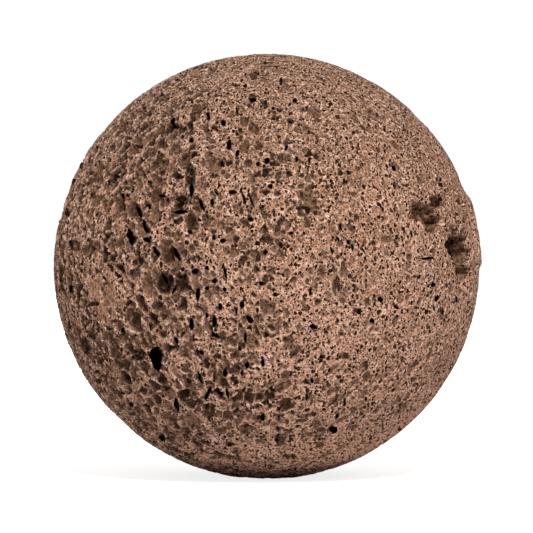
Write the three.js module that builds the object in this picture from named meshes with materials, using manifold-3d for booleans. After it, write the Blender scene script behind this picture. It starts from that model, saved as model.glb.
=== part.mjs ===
// A pumice stone: a palm-sized ball ground from one lump of brown vesicular lava.
// The whole stone is one solid. It is a sphere with a small worn foot, a few faint
// grinding flats, broken hollows on its right side, and vesicles: gas bubbles that the
// grinding cut open. Millimetres, +Z up, the foot's centre at the origin, front towards -Y.
import * as THREE from "three";
import { mergeVertices } from "three/addons/utils/BufferGeometryUtils.js";
import Module from "manifold-3d";

const wasm = await Module();
wasm.setup();

// ---- Driving dimensions -------------------------------------------------------------
const BALL_DIAMETER = 80;
const FOOT_DIAMETER = 12;
const STONE_COLOUR = 0x866350;

const RADIUS = BALL_DIAMETER / 2;
const FOOT_DEPTH = RADIUS - Math.sqrt(RADIUS ** 2 - (FOOT_DIAMETER / 2) ** 2);
const CENTRE_HEIGHT = RADIUS - FOOT_DEPTH;
const BALL_DETAIL = 14;
const VESICLE_DETAIL = 1;
const GOLDEN_ANGLE = Math.PI * (3 - Math.sqrt(5));

// ---- Shape of the ground ball -------------------------------------------------------
// Flats left by the grinding: azimuth and elevation of each, and how deep it cuts.
// Azimuth 0 faces the front and 90 the right; elevation is measured from the equator.
const FLATS = [
  { azimuth: -88, elevation: 18, depth: 0.35 },
  { azimuth: -80, elevation: -46, depth: 0.4 },
  { azimuth: 84, elevation: 24, depth: 0.35 },
  { azimuth: 150, elevation: -12, depth: 0.4 },
  { azimuth: -135, elevation: 32, depth: 0.35 },
  { azimuth: 40, elevation: 62, depth: 0.3 },
];

// Hollows where weaker rock broke away: centre, size across, size up, depth and tilt.
const HOLLOWS = [
  { azimuth: 50, elevation: 14, wide: 9, high: 6, depth: 1.5, tilt: -25 },
  { azimuth: 70, elevation: 2, wide: 9, high: 15, depth: 2.2, tilt: 8 },
  { azimuth: 76, elevation: 23, wide: 8, high: 3.5, depth: 1.1, tilt: 0 },
  { azimuth: -28, elevation: -5, wide: 7.5, high: 7, depth: 0.9, tilt: 0 },
  { azimuth: 168, elevation: 30, wide: 10, high: 7, depth: 1.6, tilt: 30 },
  { azimuth: -150, elevation: -25, wide: 8, high: 12, depth: 1.5, tilt: -15 },
];

// Vesicles on the front: place right of and above the ball's centre, width, height,
// depth and tilt. The narrow ones are bubbles that the flowing lava drew out upright.
const FRONT_VESICLES = [
  { x: -20.7, z: -16.8, wide: 2.6, high: 5.2, depth: 4.5, tilt: 4 },
  { x: -24.2, z: -16.6, wide: 2.8, high: 2.7, depth: 1.3, tilt: 0 },
  { x: -25.4, z: -9.6, wide: 2.4, high: 3.8, depth: 1.2, tilt: 12 },
  { x: -26.9, z: -12.2, wide: 1.3, high: 1.5, depth: 1.5, tilt: 0 },
  { x: -25.3, z: 5.3, wide: 1.5, high: 3.9, depth: 2.2, tilt: 14 },
  { x: -23.9, z: 9.2, wide: 1.8, high: 4.4, depth: 2.0, tilt: 16 },
  { x: -21.7, z: 4.1, wide: 1.0, high: 3.9, depth: 1.6, tilt: 48 },
  { x: -14.1, z: 16.0, wide: 1.7, high: 7.0, depth: 2.6, tilt: 4 },
  { x: -15.9, z: 11.5, wide: 2.9, high: 2.2, depth: 2.2, tilt: 0 },
  { x: -12.4, z: 11.8, wide: 1.7, high: 3.0, depth: 1.5, tilt: 22 },
  { x: -14.0, z: 3.4, wide: 2.2, high: 2.6, depth: 1.2, tilt: 0 },
  { x: -13.6, z: 7.0, wide: 2.4, high: 3.8, depth: 1.2, tilt: 10 },
  { x: -2.8, z: 31.4, wide: 1.6, high: 1.8, depth: 1.8, tilt: 0 },
  { x: -8.2, z: 26.9, wide: 1.5, high: 1.9, depth: 1.8, tilt: 12 },
  { x: -7.0, z: 22.8, wide: 1.3, high: 2.6, depth: 1.5, tilt: -8 },
  { x: -3.5, z: 19.3, wide: 2.2, high: 2.0, depth: 1.6, tilt: 35 },
  { x: -14.1, z: -11.0, wide: 1.2, high: 3.2, depth: 2.0, tilt: -2 },
  { x: -9.7, z: -10.6, wide: 1.3, high: 3.2, depth: 2.0, tilt: -3 },
  { x: -15.0, z: -16.4, wide: 1.9, high: 2.2, depth: 1.5, tilt: 20 },
  { x: -16.9, z: -26.0, wide: 1.4, high: 3.2, depth: 2.0, tilt: 10 },
  { x: -19.7, z: -32.2, wide: 2.0, high: 1.5, depth: 1.8, tilt: 8 },
  { x: -10.9, z: -23.9, wide: 1.2, high: 3.4, depth: 1.7, tilt: -24 },
  { x: -34.2, z: -14.6, wide: 2.6, high: 4.4, depth: 1.8, tilt: 12 },
  { x: 13.1, z: -3.5, wide: 2.0, high: 5.4, depth: 1.1, tilt: 2 },
  { x: 12.5, z: -30.6, wide: 1.9, high: 1.7, depth: 1.7, tilt: -30 },
  { x: 9.6, z: -29.6, wide: 2.0, high: 4.2, depth: 0.9, tilt: 22 },
  { x: 30.2, z: 1.4, wide: 3.2, high: 1.0, depth: 1.2, tilt: 5 },
  { x: 24.2, z: 18.5, wide: 2.0, high: 2.6, depth: 1.2, tilt: 10 },
];

// Vesicles on the sides, top and back follow a golden spiral, with sizes that repeat
// unevenly, and leave the front and the foot free.
const SPIRAL_COUNT = 64;
const SPIRAL_SIZES = [2.6, 1.9, 3.4, 2.2, 1.7, 2.9, 2.0];
const SPIRAL_STRETCHES = [1.2, 1.9, 1.0, 1.5, 1.3];
const SPIRAL_FRONT_LIMIT = -0.25;
const SPIRAL_FOOT_LIMIT = -0.9;

// ---- Placing things on the ball -----------------------------------------------------
const UP = new THREE.Vector3(0, 0, 1);

function directionAt(azimuth, elevation) {
  const a = THREE.MathUtils.degToRad(azimuth);
  const e = THREE.MathUtils.degToRad(elevation);
  return new THREE.Vector3(
    Math.sin(a) * Math.cos(e),
    -Math.cos(a) * Math.cos(e),
    Math.sin(e),
  );
}

// The sideways, upward and outward axes of a tilted patch of the surface.
function patchAxes(outward, tilt) {
  const across = new THREE.Vector3().crossVectors(UP, outward).normalize();
  const along = new THREE.Vector3().crossVectors(outward, across);
  const turn = new THREE.Quaternion().setFromAxisAngle(
    outward,
    THREE.MathUtils.degToRad(tilt),
  );
  return {
    across: across.applyQuaternion(turn),
    along: along.applyQuaternion(turn),
    outward,
  };
}

const flats = FLATS.map((flat) => ({
  outward: directionAt(flat.azimuth, flat.elevation),
  distance: RADIUS - flat.depth,
}));
const hollows = HOLLOWS.map((hollow) => ({
  ...hollow,
  ...patchAxes(directionAt(hollow.azimuth, hollow.elevation), hollow.tilt),
}));

// How far the surface lies from the ball's centre in one direction.
function radiusAt(direction) {
  let radius = RADIUS;
  for (const flat of flats) {
    const facing = direction.dot(flat.outward);
    if (facing > 0) radius = Math.min(radius, flat.distance / facing);
  }
  for (const hollow of hollows) {
    if (direction.dot(hollow.outward) <= 0) continue;
    const sideways = (direction.dot(hollow.across) * RADIUS) / (hollow.wide / 2);
    const upward = (direction.dot(hollow.along) * RADIUS) / (hollow.high / 2);
    const inside = 1 - Math.hypot(sideways, upward);
    radius -= hollow.depth * THREE.MathUtils.smoothstep(inside, 0, 0.6);
  }
  return radius;
}

// ---- Solids -------------------------------------------------------------------------
function solidFrom(geometry) {
  geometry.deleteAttribute("normal");
  geometry.deleteAttribute("uv");
  const merged = mergeVertices(geometry, 1e-3);
  return new wasm.Manifold(
    new wasm.Mesh({
      numProp: 3,
      vertProperties: merged.getAttribute("position").array,
      triVerts: new Uint32Array(merged.index.array),
    }),
  );
}

function groundBall() {
  const geometry = new THREE.IcosahedronGeometry(1, BALL_DETAIL);
  const points = geometry.getAttribute("position");
  const direction = new THREE.Vector3();
  for (let i = 0; i < points.count; i += 1) {
    direction.fromBufferAttribute(points, i).normalize();
    const radius = radiusAt(direction);
    points.setXYZ(
      i,
      direction.x * radius,
      direction.y * radius,
      direction.z * radius + CENTRE_HEIGHT,
    );
  }
  return solidFrom(geometry);
}

// One bubble: an ellipsoid whose middle lies on the stone's surface.
function vesicle(outward, wide, high, depth, tilt) {
  const axes = patchAxes(outward, tilt);
  const place = outward.clone().multiplyScalar(radiusAt(outward));
  const matrix = new THREE.Matrix4().makeBasis(
    axes.across.multiplyScalar(wide / 2),
    axes.along.multiplyScalar(high / 2),
    axes.outward.clone().multiplyScalar(depth),
  );
  matrix.setPosition(place.x, place.y, place.z + CENTRE_HEIGHT);
  const geometry = new THREE.IcosahedronGeometry(1, VESICLE_DETAIL);
  return solidFrom(geometry.applyMatrix4(matrix));
}

function frontVesicles() {
  return FRONT_VESICLES.map(({ x, z, wide, high, depth, tilt }) => {
    const y = -Math.sqrt(RADIUS ** 2 - x ** 2 - z ** 2);
    const outward = new THREE.Vector3(x, y, z).normalize();
    return vesicle(outward, wide, high, depth, tilt);
  });
}

function spiralVesicles() {
  const made = [];
  for (let i = 0; i < SPIRAL_COUNT; i += 1) {
    const height = 1 - (2 * (i + 0.5)) / SPIRAL_COUNT;
    const ring = Math.sqrt(1 - height ** 2);
    const angle = i * GOLDEN_ANGLE;
    const outward = new THREE.Vector3(
      ring * Math.cos(angle),
      ring * Math.sin(angle),
      height,
    );
    const onFront = outward.y < SPIRAL_FRONT_LIMIT;
    const underFoot = outward.z < SPIRAL_FOOT_LIMIT;
    if (onFront || underFoot) continue;
    const wide = SPIRAL_SIZES[i % SPIRAL_SIZES.length];
    const stretch = SPIRAL_STRETCHES[i % SPIRAL_STRETCHES.length];
    made.push(vesicle(outward, wide, wide * stretch, wide * 0.6, 12 * (i % 4)));
  }
  return made;
}

function footCutter() {
  const side = BALL_DIAMETER;
  const geometry = new THREE.BoxGeometry(side, side, side);
  return solidFrom(geometry.translate(0, 0, -side / 2));
}

function geometryOf(solid) {
  const mesh = solid.getMesh();
  return new THREE.BufferGeometry()
    .setAttribute("position", new THREE.BufferAttribute(mesh.vertProperties, 3))
    .setIndex(new THREE.BufferAttribute(mesh.triVerts, 1));
}

// ---- The stone ----------------------------------------------------------------------
let stone = groundBall();
for (const bubble of [...frontVesicles(), ...spiralVesicles()]) {
  stone = stone.subtract(bubble);
}
stone = stone.subtract(footCutter());

const pumiceStone = new THREE.Mesh(
  geometryOf(stone),
  new THREE.MeshStandardMaterial({
    color: STONE_COLOUR,
    roughness: 0.95,
    metalness: 0,
  }),
);
pumiceStone.name = "pumice_stone";

const group = new THREE.Group();
group.add(pumiceStone);

export default group;
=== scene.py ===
# %% [markdown]
# # A pumice stone ball
# The object is one palm-sized ball, ground from a lump of brown vesicular lava. Gas
# bubbles were frozen into the lava as it cooled, and grinding cut them open, so the
# whole surface is pits, slits and thin walls. This lesson goes from coarse to fine: a
# round ball, broken hollows, bubbles, single deep holes, and last the finest pores and
# the colour of the rock, which the material adds.

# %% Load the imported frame
import math

import bpy
import numpy as np
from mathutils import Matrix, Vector, noise


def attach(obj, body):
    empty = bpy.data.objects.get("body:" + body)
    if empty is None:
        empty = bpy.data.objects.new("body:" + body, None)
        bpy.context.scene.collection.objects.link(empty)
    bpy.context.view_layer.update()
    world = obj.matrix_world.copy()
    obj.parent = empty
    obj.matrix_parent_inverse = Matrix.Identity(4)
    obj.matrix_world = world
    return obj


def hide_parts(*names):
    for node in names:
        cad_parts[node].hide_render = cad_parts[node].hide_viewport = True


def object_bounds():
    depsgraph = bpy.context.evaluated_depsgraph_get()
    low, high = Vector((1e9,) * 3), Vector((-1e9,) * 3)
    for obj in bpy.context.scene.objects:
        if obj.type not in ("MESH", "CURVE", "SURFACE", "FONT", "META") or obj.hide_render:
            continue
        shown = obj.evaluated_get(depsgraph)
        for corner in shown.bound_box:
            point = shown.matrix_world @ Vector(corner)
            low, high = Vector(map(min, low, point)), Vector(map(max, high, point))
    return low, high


MM = 0.001
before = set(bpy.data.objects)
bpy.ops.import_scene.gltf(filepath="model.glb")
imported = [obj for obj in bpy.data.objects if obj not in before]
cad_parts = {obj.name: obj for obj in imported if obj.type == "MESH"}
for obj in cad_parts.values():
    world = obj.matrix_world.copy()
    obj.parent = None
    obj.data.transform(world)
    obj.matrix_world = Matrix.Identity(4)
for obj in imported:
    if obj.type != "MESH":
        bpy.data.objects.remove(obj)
cad_low, cad_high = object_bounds()
print("CAD box in mm:", [round(side / MM, 2) for side in cad_high - cad_low])

# %% [markdown]
# ## Sizes
# The ball's radius is half of the CAD box's width. Its top touches the box's top, so its
# centre sits one radius lower; what is missing at the bottom is the worn flat foot.

# %% Sizes of the ball
ball_radius = (cad_high.x - cad_low.x) / 2
ball_centre = Vector((0, 0, cad_high.z - ball_radius))
foot_depth = ball_radius - ball_centre.z
print("radius in mm:", round(ball_radius / MM, 2), "foot cut:", round(foot_depth / MM, 2))

# %% [markdown]
# ## Camera
# A long lens level with the ball's middle sees a round, undistorted outline. The
# distance is worked out from the share of the picture's width that the ball fills. The
# lens sees a little less than half of the ball, so the outline is slightly smaller than
# the ball's true radius; SHOWN_SIZE is that ratio.

# %% Camera
LENS = 200.0  # mm
SENSOR = 36.0  # mm
BALL_SHARE = 0.7985  # of the picture's width

half_angle = math.atan(BALL_SHARE * SENSOR / 2 / LENS)
camera_distance = ball_radius / math.sin(half_angle)
SHOWN_SIZE = math.cos(half_angle)
camera_data = bpy.data.cameras.new("camera")
camera_data.lens = LENS
camera_data.sensor_width = SENSOR
camera = bpy.data.objects.new("camera", camera_data)
bpy.context.scene.collection.objects.link(camera)
camera.location = ball_centre + Vector((0, -camera_distance, 0))
camera.rotation_euler = (math.radians(90), 0, 0)
bpy.context.scene.camera = camera
print("camera distance in mm:", round(camera_distance / MM, 1))

# %% [markdown]
# ## Helpers for node trees
# Geometry Nodes and materials are both trees of small nodes, and the same arithmetic
# nodes work in either, so one set of helpers builds both kinds.

# %% Helpers that add nodes


def add(tree, kind, inputs=(), **settings):
    """Adds a node. inputs maps a socket's name or number to a value, or to an output to link."""
    made = tree.nodes.new(kind)
    for name, value in settings.items():
        setattr(made, name, value)
    for key, value in dict(inputs).items():
        if isinstance(value, bpy.types.NodeSocket):
            tree.links.new(value, made.inputs[key])
        else:
            made.inputs[key].default_value = value
    return made


def number(tree, operation, *values, clamp=False):
    made = add(tree, "ShaderNodeMath", enumerate(values), operation=operation, use_clamp=clamp)
    return made.outputs[0]


def vector(tree, operation, *values):
    made = add(tree, "ShaderNodeVectorMath", enumerate(values), operation=operation)
    return made.outputs["Value" if operation in ("DOT_PRODUCT", "LENGTH") else "Vector"]


def scaled(tree, value, factor):
    made = add(tree, "ShaderNodeVectorMath", {0: value, "Scale": factor}, operation="SCALE")
    return made.outputs["Vector"]


def remap(tree, value, low, high, new_low=0.0, new_high=1.0, kind="SMOOTHSTEP"):
    inputs = {0: value, 1: low, 2: high, 3: new_low, 4: new_high}
    return add(tree, "ShaderNodeMapRange", inputs, interpolation_type=kind).outputs[0]


def new_group(name, kind, inputs, outputs):
    """A node group with named sockets. Both lists hold (name, socket type, default)."""
    tree = bpy.data.node_groups.new(name, kind)
    for in_out, sockets in (("INPUT", inputs), ("OUTPUT", outputs)):
        for label, socket_type, default in sockets:
            kind_name = "NodeSocket" + socket_type
            socket = tree.interface.new_socket(label, in_out=in_out, socket_type=kind_name)
            if default is not None:
                socket.default_value = default
    return tree, tree.nodes.new("NodeGroupInput").outputs, tree.nodes.new("NodeGroupOutput").inputs


# %% Helpers that run a Geometry Nodes tree once


def settled(stone):
    """Turns what an object's modifiers give into its own plain mesh."""
    graph = bpy.context.evaluated_depsgraph_get()
    mesh = bpy.data.meshes.new_from_object(stone.evaluated_get(graph), depsgraph=graph)
    stone.modifiers.clear()
    stone.data = mesh
    return mesh


def run_nodes(stone, tree, values):
    """Runs a Geometry Nodes tree on the stone, with values for its named inputs."""
    modifier = stone.modifiers.new(tree.name, "NODES")
    modifier.node_group = tree
    items = tree.interface.items_tree
    sockets = {item.name: item.identifier for item in items if item.in_out == "INPUT"}
    for label, value in values.items():
        modifier[sockets[label]] = value
    return settled(stone)


# %% [markdown]
# ## The round ball
# A UV sphere crowds its points at the poles, and an icosphere can't be cut this finely in
# one step. A cube whose points are pushed out onto the ball is even enough everywhere.
# Spacing the points by angle, with a tangent, keeps the cells near the cube's corners
# from shrinking.

# %% Geometry Nodes tree: a ball made from a cube
CELLS_A_SIDE = 400
lava = bpy.data.materials.new("vesicular_lava")  # its nodes are made further down


def end_tree(tree, geometry, result):
    """Makes real geometry of any instances and gives it the rock's material."""
    real = add(tree, "GeometryNodeRealizeInstances", {"Geometry": geometry}).outputs[0]
    rock = add(tree, "GeometryNodeSetMaterial", {"Geometry": real, "Material": lava})
    tree.links.new(rock.outputs[0], result["Geometry"])


def ball_tree():
    tree, given, result = new_group(
        "round_ball",
        "GeometryNodeTree",
        [("Geometry", "Geometry", None), ("Radius", "Float", 0.04), ("Cells", "Int", 64)],
        [("Geometry", "Geometry", None)],
    )
    points = number(tree, "ADD", given["Cells"], 1.0)
    grid = {"Size": (2, 2, 2), "Vertices X": points, "Vertices Y": points, "Vertices Z": points}
    cube = add(tree, "GeometryNodeMeshCube", grid).outputs["Mesh"]
    place = add(tree, "GeometryNodeInputPosition").outputs[0]
    even = vector(tree, "TANGENT", scaled(tree, place, math.pi / 4))
    on_ball = scaled(tree, vector(tree, "NORMALIZE", even), given["Radius"])
    moved = add(tree, "GeometryNodeSetPosition", {"Geometry": cube, "Position": on_ball})
    end_tree(tree, moved.outputs[0], result)
    return tree


stone = bpy.data.objects.new("lava_ball", bpy.data.meshes.new("lava_ball"))
bpy.context.scene.collection.objects.link(stone)
run_nodes(stone, ball_tree(), {"Radius": ball_radius, "Cells": CELLS_A_SIDE})
stone.data.materials.pop(index=0)  # the cube comes with an empty slot in front of the rock's
print("ball:", len(stone.data.vertices), "points of", stone.data.materials[0].name)

# %% [markdown]
# ## Ground flats and broken hollows
# Grinding leaves a few faint flats, and chunks have broken out of the stone, most of
# them on its right side, where a lip beside the deepest one still stands proud. Each is
# placed by the direction it faces from the ball's centre, as in the CAD part, with angles
# in degrees and sizes in mm. Here the hollows also get ragged outlines and rough floors.

# %% Flats, a lip and hollows
FLATS = [  # azimuth, elevation, depth
    (-88, 18, 0.35),
    (-80, -46, 0.4),
    (84, 24, 0.15),
    (150, -12, 0.4),
    (-135, 32, 0.35),
    (40, 62, 0.3),
]
LIPS = [  # azimuth, elevation, width, height, how far it was left standing
    (84, 9.6, 12, 14.5, 0.45),
]
LIP_EDGE = 0.15  # share of a lip's half width that its slope takes
HOLLOWS = [  # azimuth, elevation, width, height, depth, degrees that its top leans left
    (49, 13, 8.5, 5.5, 2.5, -38),
    (55.5, 17.3, 7, 2.4, 2.1, 0),
    (43.5, 14, 4, 2.6, 1.0, 0),
    (63.5, 5.0, 10.5, 7.8, 4.5, 0),
    (64.5, -0.5, 8.5, 7, 3.0, 5),
    (70, 17, 4.5, 3, 1.4, 0),
    (86, 22.8, 9, 3.0, 2.4, 0),
    (168, 30, 10, 7, 1.6, 30),
    (-150, -25, 8, 12, 1.5, -15),
]
HOLLOW_CORNERS = 3  # 2 gives an ellipse, more gives squarer corners
HOLLOW_RAGGED, HOLLOW_RAGGED_SIZE = 0.5, 0.05  # share of the half width; size in radians
HOLLOW_ROUGH, HOLLOW_ROUGH_SIZE = 0.15, 0.04  # share of the depth; size in radians
HOLLOW_WALL = 0.35  # share of the half width that the wall takes


def direction_at(azimuth, elevation):
    a, e = math.radians(azimuth), math.radians(elevation)
    return np.array((math.sin(a) * math.cos(e), -math.cos(a) * math.cos(e), math.sin(e)))


def patch_axes(outward, lean):
    """Two unit vectors along the ball's surface: across a patch, and up it."""
    across = np.cross((0, 0, 1), outward)
    across /= np.linalg.norm(across)
    up = np.cross(outward, across)
    turn = math.radians(lean)
    side = across * math.cos(turn) + up * math.sin(turn)
    return side, up * math.cos(turn) - across * math.sin(turn)


def smoothstep(values, low, high):
    t = np.clip((values - low) / (high - low), 0, 1)
    return t * t * (3 - 2 * t)


def lumps(points, size, octaves=3):
    """Fractal noise, about -1 to 1, with lumps of this size in metres."""
    return np.array([noise.fractal(Vector(p) / size, 1.0, 2.0, octaves) for p in points])


def points_of(mesh):
    found = np.empty(len(mesh.vertices) * 3, np.float32)
    mesh.vertices.foreach_get("co", found)
    return found.reshape(-1, 3).astype(float)


def move_points(mesh, points):
    mesh.vertices.foreach_set("co", points.astype(np.float32).ravel())
    mesh.update()


def ground_radius(directions):
    """How far the ground surface lies from the centre, before anything broke or burst."""
    radius = np.full(len(directions), ball_radius)
    for azimuth, elevation, depth in FLATS:
        facing = directions @ direction_at(azimuth, elevation)
        flat = (ball_radius - depth * MM) / np.maximum(facing, 0.01)
        radius = np.where(facing > 0, np.minimum(radius, flat), radius)
    for azimuth, elevation, wide, high, left in LIPS:
        outward = direction_at(azimuth, elevation)
        side, up = patch_axes(outward, 0)
        sideways = directions @ side * ball_radius / (wide * MM / 2)
        upward = directions @ up * ball_radius / (high * MM / 2)
        inside = np.where(directions @ outward > 0, 1 - np.hypot(sideways, upward), 0)
        radius += left * MM * smoothstep(inside, 0, LIP_EDGE)
    return radius


def hollow_depth(directions):
    """How deep the broken hollows are, in metres."""
    depths = np.zeros(len(directions))
    for azimuth, elevation, wide, high, depth, lean in HOLLOWS:
        outward = direction_at(azimuth, elevation)
        reach = math.cos(max(wide, high) * MM / ball_radius)
        near = np.nonzero(directions @ outward > reach)[0]
        side, up = patch_axes(outward, lean)
        sideways = directions[near] @ side * ball_radius / (wide * MM / 2)
        upward = directions[near] @ up * ball_radius / (high * MM / 2)
        away = np.abs(sideways) ** HOLLOW_CORNERS + np.abs(upward) ** HOLLOW_CORNERS
        ragged = HOLLOW_RAGGED * lumps(directions[near], HOLLOW_RAGGED_SIZE, 2)
        inside = 1 - away ** (1 / HOLLOW_CORNERS) + ragged
        floor = 1 + HOLLOW_ROUGH * lumps(directions[near], HOLLOW_ROUGH_SIZE)
        broken = depth * MM * smoothstep(inside, 0, HOLLOW_WALL) * floor
        depths[near] = np.maximum(depths[near], broken)
    return depths


points = points_of(stone.data)
directions = points / np.linalg.norm(points, axis=1, keepdims=True)
broken_radius = ground_radius(directions) - hollow_depth(directions)
move_points(stone.data, directions * broken_radius[:, None])
print("deepest hollow in mm:", round((ball_radius - broken_radius.min()) / MM, 2))

# %% [markdown]
# ## Cut bubbles
# Each gas bubble is a ball hidden in the rock. Voronoi noise gives every point of space
# its nearest bubble centre. Where the ground surface runs through a bubble, the bubble's
# far wall is the new surface, and the formula for a line through a sphere tells how far
# down it is. Neighbours that would overlap are parted by a thin wall along the cell's
# edge, as in real lava foam. The bubbles are a little taller than wide, because the lava
# flowed as it set. The same nodes run twice: Geometry Nodes sink the mesh by them, and the
# material works them out wherever it is shaded, so that rims are sharper than the mesh.

# %% Node group: its sockets, and where the foam is coarse or calm
BUBBLE_INPUTS = [
    ("Place", "Vector", None),
    ("Outward", "Vector", None),
    ("Cell size", "Float", 0.002),
    ("Smallest", "Float", 0.2),
    ("Largest", "Float", 0.7),
    ("Share", "Float", 0.8),
    ("Stretch", "Float", 1.4),
    ("Wobble", "Float", 0.6),
    ("Wall", "Float", 0.06),
    ("Deepest", "Float", 1.0),
    # how dark a bubble's inside is painted, as painted shade
    ("Darkness", "Float", 0.5),
    ("Coarse from", "Float", 0.0),
    ("Coarse to", "Float", 1.0),
    ("Seed", "Float", 0.0),
]
BUBBLE_OUTPUTS = [("Inside", "Float", None), ("Depth", "Float", None), ("Dark", "Float", None)]
ZONE_PATCH_SCALE = 75.0  # patches about 13 mm wide
COARSE_LEFT, COARSE_LOW, COARSE_CALM = -0.5, -0.12, -1.2
BOWL_REACH = 0.34  # in cells: how far in from its rim a bubble is rounded off
CALM_PLACE = (-0.735, -0.665, -0.135)
CALM_INNER, CALM_OUTER = 0.12, 0.24
CALM_RAGGED, CALM_RAGGED_SCALE = 0.16, 14.0


def calm(tree, outward):
    """1 in the one patch on the left where the rock is nearly free of bubbles."""
    away = vector(tree, "LENGTH", vector(tree, "SUBTRACT", outward, CALM_PLACE))
    ragged = add(tree, "ShaderNodeTexNoise", {"Vector": outward, "Scale": CALM_RAGGED_SCALE})
    away = number(tree, "MULTIPLY_ADD", ragged.outputs[0], CALM_RAGGED, away)
    return remap(tree, away, CALM_INNER, CALM_OUTER, 1.0, 0.0)


def coarseness(tree, place, outward):
    """Where the foam is coarse: high on the left and at the bottom, low on the right."""
    axes = add(tree, "ShaderNodeSeparateXYZ", {0: outward}).outputs
    patch = add(tree, "ShaderNodeTexNoise", {"Vector": place, "Scale": ZONE_PATCH_SCALE})
    value = number(tree, "MULTIPLY_ADD", axes[0], COARSE_LEFT, patch.outputs[0])
    value = number(tree, "MULTIPLY_ADD", axes[2], COARSE_LOW, value)
    return number(tree, "MULTIPLY_ADD", calm(tree, outward), COARSE_CALM, value)


# %% Node group: one size of bubbles


def far_wall(tree, from_centre, inward, radius):
    """How far a point inside a bubble must move inward to reach the bubble's far wall."""
    a = vector(tree, "DOT_PRODUCT", inward, inward)
    b = vector(tree, "DOT_PRODUCT", from_centre, inward)
    squared = number(tree, "MULTIPLY", radius, radius)
    c = number(tree, "SUBTRACT", vector(tree, "DOT_PRODUCT", from_centre, from_centre), squared)
    under = number(tree, "MULTIPLY", a, c)
    under = number(tree, "SUBTRACT", number(tree, "MULTIPLY", b, b), under)
    root = number(tree, "SQRT", number(tree, "MAXIMUM", under, 0.0))
    return number(tree, "MAXIMUM", number(tree, "DIVIDE", number(tree, "ADD", b, root), a), 0.0)


def bubble_group(kind):
    tree, given, result = new_group("bubble_size", kind, BUBBLE_INPUTS, BUBBLE_OUTPUTS)
    flatten = number(tree, "DIVIDE", 1.0, given["Stretch"])
    squeeze = add(tree, "ShaderNodeCombineXYZ", {0: 1.0, 1: 1.0, 2: flatten}).outputs[0]
    in_cells = scaled(tree, given["Place"], number(tree, "DIVIDE", 1.0, given["Cell size"]))
    shift = add(tree, "ShaderNodeCombineXYZ", {0: given["Seed"], 1: given["Seed"]}).outputs[0]
    in_cells = vector(tree, "ADD", in_cells, shift)
    drift = add(tree, "ShaderNodeTexNoise", {"Vector": in_cells, "Scale": 0.8, "Detail": 1.0})
    drift = vector(tree, "SUBTRACT", drift.outputs[1], (0.5, 0.5, 0.5))
    drift = scaled(tree, drift, number(tree, "MULTIPLY", given["Wobble"], 2.0))
    squeezed = vector(tree, "MULTIPLY", vector(tree, "ADD", in_cells, drift), squeeze)
    cells = add(tree, "ShaderNodeTexVoronoi", {"Vector": squeezed, "Scale": 1.0}).outputs
    to_edge = {"Vector": squeezed, "Scale": 1.0}
    edge = add(tree, "ShaderNodeTexVoronoi", to_edge, feature="DISTANCE_TO_EDGE")
    chance = add(tree, "ShaderNodeSeparateXYZ", {0: cells["Color"]}).outputs
    zone = coarseness(tree, given["Place"], given["Outward"])
    zone = remap(tree, zone, given["Coarse from"], given["Coarse to"])
    radius = remap(tree, chance[0], 0.0, 1.0, given["Smallest"], given["Largest"], "LINEAR")
    burst = number(tree, "LESS_THAN", chance[1], number(tree, "MULTIPLY", given["Share"], zone))
    radius = number(tree, "MULTIPLY", radius, burst)
    clear = number(tree, "SUBTRACT", edge.outputs["Distance"], given["Wall"])
    inside = number(tree, "MINIMUM", number(tree, "SUBTRACT", radius, cells["Distance"]), clear)
    from_centre = vector(tree, "SUBTRACT", squeezed, cells["Position"])
    inward = vector(tree, "MULTIPLY", given["Outward"], squeeze)
    sink = far_wall(tree, from_centre, inward, radius)
    most = remap(tree, chance[2], 0.0, 1.0, 0.3, 1.0)
    most = number(tree, "MULTIPLY", given["Deepest"], most)
    filled = number(tree, "DIVIDE", number(tree, "MULTIPLY", sink, -1.0), most)
    sink = number(tree, "SUBTRACT", 1.0, number(tree, "EXPONENT", filled))
    sink = number(tree, "MULTIPLY", sink, most)
    bowl = remap(tree, inside, 0.0, BOWL_REACH, 0.0, 1.0, "LINEAR")
    bowl = number(tree, "MULTIPLY", bowl, number(tree, "SUBTRACT", 2.0, bowl))
    sink = number(tree, "MULTIPLY", sink, number(tree, "SQRT", bowl))
    sink = number(tree, "MULTIPLY", sink, given["Cell size"])
    # Painted shade: a bubble's inside is painted dark, deeper bubbles more
    bubble_shade = remap(tree, chance[2], 0.1, 1.0, 0.1, 1.0, "LINEAR")
    bubble_shade = number(tree, "MULTIPLY", bubble_shade, remap(tree, inside, 0.0, 0.2))
    bubble_shade = number(tree, "MULTIPLY", bubble_shade, given["Darkness"])
    tree.links.new(number(tree, "MULTIPLY", inside, given["Cell size"]), result["Inside"])
    tree.links.new(sink, result["Depth"])
    tree.links.new(bubble_shade, result["Dark"])
    return tree


# %% The sizes of bubbles
BUBBLE_SIZES = {  # the values that VALUES_GIVEN names, in mm, then in cells; zone and seed
    "large": (4.2, 0.12, 0.46, 0.75, 1.35, 0.35, 0.04, 0.55, 0.65, (0.42, 0.72), 3.0),
    "coarse": (2.1, 0.28, 0.90, 1.00, 1.35, 0.35, 0.05, 0.90, 0.80, (0.50, 0.78), 11.0),
    "shallow": (2.0, 0.15, 0.55, 0.80, 1.60, 0.50, 0.06, 0.35, 0.30, (-0.10, 0.30), 57.0),
    "slits": (1.8, 0.11, 0.25, 1.00, 2.80, 0.60, 0.00, 1.30, 1.00, (0.05, 0.30), 31.0),
    "scattered": (2.3, 0.10, 0.32, 0.90, 1.25, 0.25, 0.00, 1.00, 1.00, (-1.0, -0.50), 43.0),
    "medium": (1.3, 0.20, 0.80, 0.90, 1.30, 0.35, 0.07, 0.95, 0.90, (0.22, 0.68), 23.0),
}
VALUES_GIVEN = (
    "Cell size", "Smallest", "Largest", "Share", "Stretch", "Wobble", "Wall", "Deepest", "Darkness"
)


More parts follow.
